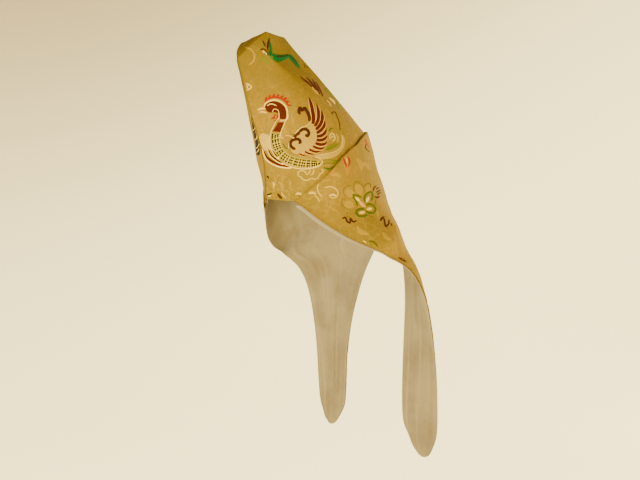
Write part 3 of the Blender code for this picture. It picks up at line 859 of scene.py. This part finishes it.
sprigs = [
    *strokes("brown", "leaf", 1,
        [11, 1136, 1420, 1144, 1430, 1148, 1444], [18, 1190, 1662, 1222, 1676, 1254, 1700]),
    *strokes("olive", "leaf", 1, [28, 978, 1546, 1018, 1558, 1054, 1592]),
    *strokes("brown", "line", 2, [6, 984, 1546, 1016, 1552, 1048, 1584]),
    *strokes("cream", "leaf", 1, [9, 940, 1546, 956, 1550, 972, 1562]),
]
greenBird = [
    *strokes("olive", "leaf", 1,
        [44, 228, 246, 258, 280, 306, 300], [24, 400, 244, 440, 250, 480, 290]),
    *strokes("olive", "line", 1, [9, 306, 240, 336, 220, 376, 218, 420, 240]),
    *strokes("emerald", "leaf", 2,
        [46, 278, 226, 322, 258, 376, 268, 430, 258], [34, 370, 262, 426, 252, 468, 292, 508, 338],
        [20, 308, 246, 300, 206, 294, 150]),
    *strokes("green", "leaf", 3, [14, 316, 282, 344, 294, 384, 288]),
    *strokes("pine", "line", 3,
        [9, 330, 256, 380, 258, 428, 250, 460, 276, 484, 308], [5, 344, 244, 384, 246, 420, 240],
        [5, 282, 206, 292, 230, 302, 252]),
    *strokes("brown", "leaf", 3, [18, 276, 214, 280, 170, 291, 124]),
    *strokes("brown", "leaf", 2, [12, 264, 190, 252, 164, 242, 140]),
    *strokes("brown", "line", 2, [9, 224, 212, 240, 203, 262, 210, 276, 232, 284, 250]),
    *strokes("cream", "leaf", 2,
        [11, 240, 216, 250, 222, 256, 232], [8, 262, 226, 268, 236, 270, 246]),
    *strokes("emerald", "leaf", 3, [18, 456, 290, 484, 318, 506, 342]),
]
plumes = [
    *strokes("maroon", "feather", 2,
        [14, 590, 470, 556, 436, 526, 414, 502, 392], [15, 618, 492, 596, 456, 572, 424, 544, 398],
        [16, 642, 520, 624, 478, 606, 444, 588, 412], [12, 664, 536, 650, 500, 632, 462, 610, 426]),
    *strokes("rose", "feather", 1, [8, 600, 480, 566, 448, 536, 420, 510, 400]),
]
upperBits = [
    *strokes("dimGold", "line", 1, [14, 118, 190, 158, 204, 184, 240, 180, 284, 146, 314]),
    *strokes("cream", "leaf", 1,
        [11, 122, 440, 148, 454, 170, 468], [11, 170, 466, 150, 482, 128, 494],
        [9, 126, 452, 136, 468, 130, 484]),
    *strokes("blush", "leaf", 1, [22, 584, 470, 610, 496, 640, 524]),
    *strokes("brown", "leaf", 1,
        [8, 528, 308, 540, 322, 534, 338], [7, 546, 326, 556, 334, 552, 344]),
    *strokes("olive", "leaf", 1,
        [30, 676, 470, 716, 512, 744, 548], [24, 748, 568, 774, 598, 786, 632]),
    *strokes("cream", "leaf", 2, [16, 704, 542, 730, 560, 752, 590]),
    *strokes("cream", "line", 1, [6, 690, 560, 712, 582, 722, 606]),
]
farStrip = [
    ("ink", "patch", 1, 0, [(160, 672), (168, 740), (180, 810), (192, 870), (190, 950)],
     [(176, 672), (196, 740), (214, 810), (228, 870), (222, 950)]),
    *strokes("cream", "line", 2,
        [5, 174, 776, 186, 762, 190, 738], [5, 186, 844, 200, 828, 206, 806],
        [5, 196, 900, 212, 884, 220, 862], [5, 200, 930, 212, 914, 220, 900]),
    # painted shade: this dark brown stroke runs along the front ridge, where the fold's shadow lies
    *strokes("brown", "leaf", 1, [16, 92, 360, 102, 400, 112, 470]),
]


# A smooth path through a few points, read at even steps of its length.
def smoothPath(points, count=None, step=5.0):
    points = np.array(points, float)
    knots = runLength(points[None], 1)[0]
    count = count or max(5, int(knots[-1] / step) + 2)
    return throughPoints(np.linspace(0, knots[-1], count), knots, points), knots[-1]


# How wide a form is along its length, from base to tip.
formWidths = {
    "line": ([0, 0.03, 0.10, 0.90, 0.97, 1], [0.25, 0.75, 1, 1, 0.75, 0.25]),
    "leaf": ([0, 0.1, 0.25, 0.5, 0.75, 0.9, 1], [0.04, 0.5, 0.85, 1, 0.78, 0.42, 0.03]),
    "feather": ([0, 0.08, 0.35, 0.65, 0.88, 1], [0.45, 0.75, 1, 0.92, 0.5, 0.03]),
    "plume": ([0, 0.06, 0.3, 0.7, 0.92, 1], [0.75, 0.95, 1, 0.95, 0.5, 0.08]),
}


# One woven form on the flat: a grid of places, the height of each point from 0 at the edge to 1, and a
# UV in marks. A ribbon goes out to both sides of its path; a patch runs straight between two edges.
def formGrid(row):
    if row[1] == "patch":
        count = max(8, int(runLength(np.array([row[4]], float), 1)[0, -1] / drawing["patchStep"]))
        first, length = smoothPath(row[4], count)
        second, _ = smoothPath(row[5], count)
        span = np.linalg.norm(first - second, axis=1).max()
        share = np.linspace(0, 1, max(5, int(span / drawing["patchStep"])))
        share = np.concatenate([[0, 0.25 * share[1]], share[1:-1], [1 - 0.25 * share[1], 1]])
        places = first[:, None] * (1 - share[:, None]) + second[:, None] * share[:, None]
        height = np.ones(places.shape[:2])
        height[:, [0, -1]] = 0
        height[[0, -1]] = 0
        along, over = np.linspace(0, length, count), share * span
    else:
        centre, length = smoothPath(row[4])
        direction = unit(np.gradient(centre, axis=0))
        left = np.stack([-direction[:, 1], direction[:, 0]], 1)
        s = np.linspace(0, 1, len(centre))
        half = row[3] / 2 * np.interp(s, *formWidths[row[1]])
        share = np.array([-1, -0.72, 0, 0.72, 1])
        places = centre[:, None] + left[:, None] * (half[:, None] * share)[:, :, None]
        height = np.ones(len(centre))[:, None] * np.array([0, 0.85, 1.1, 0.85, 0])
        height[[0, -1]] = 0
        along, over = s * length, share * row[3] / 2
    uv = np.stack(np.meshgrid(along, over, indexing="ij"), -1)
    return places, height, uv


# A grid read between its points, by straight blends of the four around.
def readGrid(grid, r, c):
    i = np.clip(np.floor(r).astype(int), 0, grid.shape[0] - 2)
    j = np.clip(np.floor(c).astype(int), 0, grid.shape[1] - 2)
    a, b = (r - i)[:, None], (c - j)[:, None]
    return ((grid[i, j] * (1 - b) + grid[i, j + 1] * b) * (1 - a)
            + (grid[i + 1, j] * (1 - b) + grid[i + 1, j + 1] * b) * a)


# Where straight lines of sight meet a cloth: the nearest of some sample points that faces them, then
# steps along the cloth's own slopes until the line passes through the point.
def meetCloth(clothName, origins, directions):
    grid, normal = clothOf[clothName]
    rows, columns = grid.shape[:2]
    pickRows, pickColumns = np.meshgrid(np.linspace(1, rows - 2, drawing["sampleRows"]).astype(int),
                                        np.linspace(1, columns - 2, drawing["sampleColumns"]).astype(int),
                                        indexing="ij")
    spots, faces = grid[pickRows, pickColumns].reshape(-1, 3), normal[pickRows, pickColumns].reshape(-1, 3)
    best = np.zeros(len(origins), int)
    for start in range(0, len(origins), drawing["block"]):
        block = slice(start, start + drawing["block"])
        origin, direction = origins[block], directions[block]
        along = (spots @ direction.T).T - (origin * direction).sum(1, keepdims=True)
        apart = (spots ** 2).sum(1)[None] - 2 * origin @ spots.T + (origin ** 2).sum(1, keepdims=True)
        apart -= along ** 2
        best[block] = np.argmin(apart + (direction @ faces.T > -0.05), axis=1)
    r, c = pickRows.ravel()[best].astype(float), pickColumns.ravel()[best].astype(float)
    for _ in range(drawing["steps"]):
        spot = readGrid(grid, r, c)
        up, down = np.minimum(r + 0.5, rows - 1), np.maximum(r - 0.5, 0)
        right, left = np.minimum(c + 0.5, columns - 1), np.maximum(c - 0.5, 0)
        bySlope = np.stack([(readGrid(grid, up, c) - readGrid(grid, down, c)) / (up - down)[:, None],
                            (readGrid(grid, r, right) - readGrid(grid, r, left)) / (right - left)[:, None],
                            -directions], -1)
        flat = np.abs(np.linalg.det(bySlope)) < 1e-10
        bySlope[flat] = np.eye(3)
        step = np.linalg.solve(bySlope, (origins - spot)[:, :, None])[:, :, 0]
        step[flat] = 0
        r = np.clip(r + np.clip(step[:, 0], -5, 5), 0, rows - 1)
        c = np.clip(c + np.clip(step[:, 1], -5, 5), 0, columns - 1)
    spot = readGrid(grid, r, c)
    toSpot = spot - origins
    off = np.linalg.norm(toSpot - (toSpot * directions).sum(1, keepdims=True) * directions, axis=1)
    facing = unit(readGrid(normal, r, c))
    # a cloth that turns away from the line of sight takes no more of the figure, but for the far strip
    least = drawing["leastFacingFar"] if clothName == "crownRight" else drawing["leastFacing"]
    return spot, facing, (off < drawing["hitWithin"]) & (-(facing * directions).sum(1) > least)


# Lines of sight from the camera through the drawing's marks.
def fromCamera(places):
    pixel = places / drawing["marks"] + drawing["corner"]
    sight = (viewAhead + viewRight * ((pixel[:, :1] - view["width"] / 2) / view["focalPixels"])
             + np.array([0, 0, 1]) * ((view["height"] / 2 - pixel[:, 1:]) / view["focalPixels"]))
    return np.tile(view["place"], (len(places), 1)), unit(sight)


# Lines straight into a cloth at a place given by shares of its rows and columns, with the drawing's
# middle on it, turned by an angle, and mirrored if flip is -1.
def ontoCloth(clothName, up, around, middle, angle=0.0, size=1.0, flip=1):
    grid, normal = clothOf[clothName]
    at = (np.array([up * (grid.shape[0] - 1)]), np.array([around * (grid.shape[1] - 1)]))
    anchor, facing = readGrid(grid, *at)[0], unit(readGrid(normal, *at)[0])
    across = unit(np.cross([0, 0, 1], facing))
    above = np.cross(facing, across)
    turn = math.radians(angle)

    def rays(places):
        x = (places[:, 0] - middle[0]) * drawing["markOnCloth"] * size * drawing["stretch"] * flip
        y = -(places[:, 1] - middle[1]) * drawing["markOnCloth"] * size
        x, y = x * math.cos(turn) - y * math.sin(turn), x * math.sin(turn) + y * math.cos(turn)
        origins = anchor + facing * drawing["rayStart"] + x[:, None] * across + y[:, None] * above
        return origins, np.tile(-facing, (len(places), 1))
    return rays


woven = {}                                  # silk name: lists of points, quads and UVs, and points so far


# Puts points, quads and UVs with what is woven in one silk.
def addWoven(silkName, points, quads, uv):
    pieces = woven.setdefault(silkName, [[], [], [], 0])
    pieces[0].append(points)
    pieces[1].append(quads + pieces[3])
    pieces[2].append(uv)
    pieces[3] += len(points)


# Lays a figure on a cloth. Forms that run past the cloth's edge are cut off along it.
def weave(figure, clothName, rays):
    forms = [formGrid(row) for row in figure]
    sizes = [places.shape[0] * places.shape[1] for places, _, _ in forms]
    spots, facing, met = meetCloth(clothName, *rays(np.concatenate([p.reshape(-1, 2) for p, _, _ in forms])))
    start = 0
    for row, (places, height, uv), size in zip(figure, forms, sizes):
        part = slice(start, start + size)
        start += size
        base = (row[2] - 1) * drawing["ply"]
        lift = np.where(height.ravel() > 0, base + height.ravel() * drawing["ply"], base - drawing["sunk"])
        points = spots[part] + facing[part] * lift[:, None]
        quads = gridQuads(np.arange(size).reshape(places.shape[:2]))
        quads = quads[met[part][quads].any(1)]
        if not len(quads):
            continue
        corner = points[quads]
        outward = np.cross(corner[:, 2] - corner[:, 0], corner[:, 3] - corner[:, 1])
        if (outward * facing[part][quads[:, 0]]).sum() < 0:
            quads = quads[:, ::-1]
        used, inverse = np.unique(quads, return_inverse=True)
        uv = uv.reshape(-1, 2)[used] * drawing["markOnCloth"]
        addWoven(row[0], points[used], inverse.reshape(-1, 4), uv)


for figure in (phoenix, scrolls, cloudWisp, frontClouds, greenBird, upperBits, plumes):
    weave(figure, "crownLeft", fromCamera)
for figure in (wingClouds, bud, sideBud, flower, twigs, sprigs):
    weave(figure, "wingLeft", fromCamera)
weave(farStrip, "crownRight", fromCamera)
weave([row for row in scrolls if row[0] == "olive"], "wingLeft", fromCamera)
print("near side woven")

# figure, cloth, share up, share round, middle of the drawing, angle, size, mirrored
places = [
    (phoenix, "crownRight", 0.40, 0.45, (470, 790), 4, 0.86, 1),
    (scrolls, "crownRight", 0.24, 0.52, (650, 960), 4, 1.0, 1),
    (plumes, "crownRight", 0.72, 0.62, (600, 470), 20, 1.0, 1),
    (greenBird, "crownRight", 0.78, 0.30, (370, 250), -20, 1.0, 1),
    (cloudWisp, "crownRight", 0.16, 0.25, (400, 1180), 0, 1.0, 1),
    (flower, "wingRight", 0.80, 0.45, (900, 1260), 10, 1.0, -1),
    (flower, "wingRight", 0.74, 0.25, (900, 1260), 0, 0.8, -1),
    (twigs, "wingRight", 0.74, 0.60, (960, 1300), 10, 1.0, -1),
    (bud, "wingRight", 0.86, 0.70, (800, 1010), 0, 1.0, -1),
    (wingClouds, "wingRight", 0.84, 0.20, (690, 1220), -10, 1.0, -1),
    (phoenix, "wingLeft", 0.30, 0.50, (470, 790), 0, 0.9, -1),
    (flower, "wingLeft", 0.12, 0.50, (900, 1260), 0, 1.0, 1),
    (wingClouds, "wingLeft", 0.48, 0.55, (690, 1220), 0, 1.0, 1),
    (phoenix, "wingRight", 0.18, 0.50, (470, 790), 0, 0.9, 1),
    (flower, "wingRight", 0.34, 0.45, (900, 1260), 20, 1.0, 1),
    (scrolls, "wingRight", 0.53, 0.60, (650, 960), 0, 1.0, 1),
    (bud, "wingLeft", 0.62, 0.80, (800, 1010), 0, 1.0, 1),
]
for figure, clothName, up, around, middle, angle, size, flip in places:
    weave(figure, clothName, ontoCloth(clothName, up, around, middle, angle, size, flip))

stitch = {"length": 0.0042, "gap": 0.0030, "width": 0.0008, "height": 0.00025, "fromEdge": 0.0030,
          "sunk": 0.4, "wingFirst": 8, "wingLast": 6, "crownFirst": 2, "crownShare": 0.30}


# A row of running stitches along a path given by rows and columns of a cloth's grid: each stitch is a
# short ribbon of four points along and three across, the middle one raised and the rest sunk.
def sew(clothName, rowPath, columnPath):
    grid, normal = clothOf[clothName]
    path, facing = readGrid(grid, rowPath, columnPath), readGrid(normal, rowPath, columnPath)
    run = runLength(path[None], 1)[0]
    starts = np.arange(stitch["gap"], run[-1] - stitch["length"], stitch["length"] + stitch["gap"])
    at = starts[:, None] + np.linspace(0, stitch["length"], 4)
    spot, out = [np.stack([np.interp(at, run, line[:, k]) for k in range(3)], -1) for line in (path, facing)]
    out = unit(out)
    over = unit(np.cross(out, np.gradient(spot, axis=1)))
    sunk = -stitch["sunk"]
    rise = np.array([sunk, 1.0, 1.0, sunk])[:, None] * [0, 1, 0] + np.array([sunk, 0, sunk])
    width = np.array([-0.5, 0, 0.5]) * stitch["width"]
    points = (spot[:, :, None] + over[:, :, None] * width[:, None]
              + out[:, :, None] * (rise * stitch["height"])[:, :, None])
    index = np.arange(len(starts) * 12).reshape(-1, 4, 3)
    quads = np.concatenate([gridQuads(block) for block in index])
    corner = points.reshape(-1, 3)[quads]
    outward = np.cross(corner[:, 2] - corner[:, 0], corner[:, 3] - corner[:, 1])
    if (outward * out.reshape(-1, 3)[quads[:, 0] // 3]).sum() < 0:
        quads = quads[:, ::-1]
    uv = np.stack(np.broadcast_arrays(at[:, :, None], width), -1)
    addWoven("thread", points.reshape(-1, 3), quads, uv.reshape(-1, 2))


# Where the stitches keep their distance from an edge, along each of some lines of a cloth's grid.
def seamLine(grid, axis, lines, farEdge=False):
    run = runLength(grid, axis)
    run = (run if axis else run.T)[lines]
    return np.array([np.interp(line[-1] - stitch["fromEdge"] if farEdge else stitch["fromEdge"],
                               line, np.arange(len(line))) for line in run])


for side in ("Left", "Right"):
    grid = clothOf["wing" + side][0]
    hem = np.arange(stitch["wingFirst"], len(grid) - wingCloth["ledgeRows"] - stitch["wingLast"])
    sew("wing" + side, hem.astype(float), seamLine(grid, 1, hem))
    inner = np.arange(stitch["wingFirst"], len(wing["tail"]) * wingCloth["stepsPerRow"])
    sew("wing" + side, inner.astype(float), seamLine(grid, 1, inner, farEdge=True))
    end = np.arange(stitch["wingLast"], grid.shape[1] - stitch["wingLast"])
    sew("wing" + side, seamLine(grid, 0, end), end.astype(float))
    grid = clothOf["crown" + side][0]
    front = np.arange(stitch["crownFirst"], int(grid.shape[1] * stitch["crownShare"]))
    sew("crown" + side, seamLine(grid, 0, front), front.astype(float))
print("hems sewn")

for silkName, parts in sorted(woven.items()):
    points, quads, uv = [np.concatenate(part) for part in parts[:3]]
    title = silkName[0].upper() + silkName[1:]
    piece = newPiece("woven" + title, points, quads, uv, np.zeros(len(points)),
                     figureMaterial(silkName + "Silk", *silkDyes[silkName]))
    backing = piece.modifiers.new("backing", "SOLIDIFY")
    backing.thickness = drawing["backing"]
    backing.offset = -1
    print(piece.name, len(quads) * 4, "triangles")
print("figures woven")

stage = {"floor": -0.66, "flatRadius": 0.9, "wallRadius": 3.0, "rise": 2.2, "wallTop": 2.6,
         "colour": (0.52, 0.44, 0.28), "glowDim": (0.09, 0.075, 0.05), "glowBright": (1.0, 0.84, 0.38),
         "glow": 3.0, "glowFrom": -2.6, "glowTo": 1.0, "sky": (1.0, 0.88, 0.62, 1), "skyStrength": 0.15,
         "sides": 144}


# A round room: the floor's profile turns up into the wall on a quarter ellipse, swept round the Z axis.
def roomMesh(look):
    turn = np.linspace(0, np.pi / 2, 24)
    radius = look["flatRadius"] + (look["wallRadius"] - look["flatRadius"]) * np.sin(turn)
    height = look["floor"] + look["rise"] * (1 - np.cos(turn))
    radius = np.concatenate([np.linspace(0.001, look["flatRadius"], 12)[:-1], radius, [look["wallRadius"]]])
    height = np.concatenate([np.full(11, look["floor"]), height, [look["wallTop"]]])
    around = np.linspace(0, 2 * np.pi, look["sides"] + 1)[:-1]
    points = np.stack([radius[:, None] * np.cos(around), radius[:, None] * np.sin(around),
                       height[:, None] + 0 * around], -1)
    index = np.arange(points.shape[0] * look["sides"]).reshape(-1, look["sides"])
    index = np.concatenate([index, index[:, :1]], 1)
    mesh = bpy.data.meshes.new("room")
    mesh.from_pydata(points.reshape(-1, 3).tolist(), [], gridQuads(index)[:, ::-1].tolist())
    mesh.polygons.foreach_set("use_smooth", np.ones(len(mesh.polygons), bool))
    return mesh


# The wall glows like a lit backdrop, more to the right and low down.
def wallMaterial(look):
    material, tree, shader, place = newMaterial("paleWall")
    grain = noise(tree, place, 160.0, 3.0, 0.6)
    x, y, z = partsOf(tree, place)
    side = x * float(viewRight[0]) + y * float(viewRight[1])
    glow = stepBetween(tree, side * 0.5 - z, look["glowFrom"], look["glowTo"])
    feed(tree, shader, {"Base Color": (*look["colour"], 1), "Roughness": 0.9,
                        "Normal": bump(tree, 0.15, 0.001, grain),
                        "Specular IOR Level": 0.0, "Emission Strength": look["glow"],
                        "Emission Color": mixColour(tree, glow, look["glowDim"], look["glowBright"])})
    return material


room = newObject("room", roomMesh(stage))
room.data.materials.append(wallMaterial(stage))

# name, place as right, ahead and up from the hood, what it points at in the same terms, width, power in
# watts, colour
lights = [
    ("keyLight", (-0.45, -0.80, -0.28), (0.0, 0.0, -0.16), 0.34, 15.0, (1.0, 0.92, 0.74)),
    ("sideLight", (1.3, 0.1, -0.15), (0.1, 0.0, -0.25), 0.9, 13.0, (1.0, 0.92, 0.74)),
]
for lightName, place, target, width, power, colour in lights:
    data = bpy.data.lights.new(lightName, "AREA")
    data.shape = "SQUARE"
    data.size = width
    data.energy = power
    data.color = colour
    lamp = newObject(lightName, data)
    spot, seen = [viewRight * p[0] + viewAhead * p[1] + np.array([0, 0, p[2]]) for p in (place, target)]
    aim = seen - spot
    lamp.location = spot
    lamp.rotation_euler = (math.acos(-unit(aim)[2]), 0, math.atan2(aim[1], aim[0]) - math.pi / 2)
    lamp.visible_camera = False
world = bpy.data.worlds.new("paleRoom")
world.use_nodes = True
sky = world.node_tree.nodes["Background"].inputs
sky["Color"].default_value, sky["Strength"].default_value = stage["sky"], stage["skyStrength"]
bpy.context.scene.world = world
print("stage made")

# the name of each side's wing cloth
for word in ("left", "right"):
    title = word.capitalize()
    "wingCloth" + title
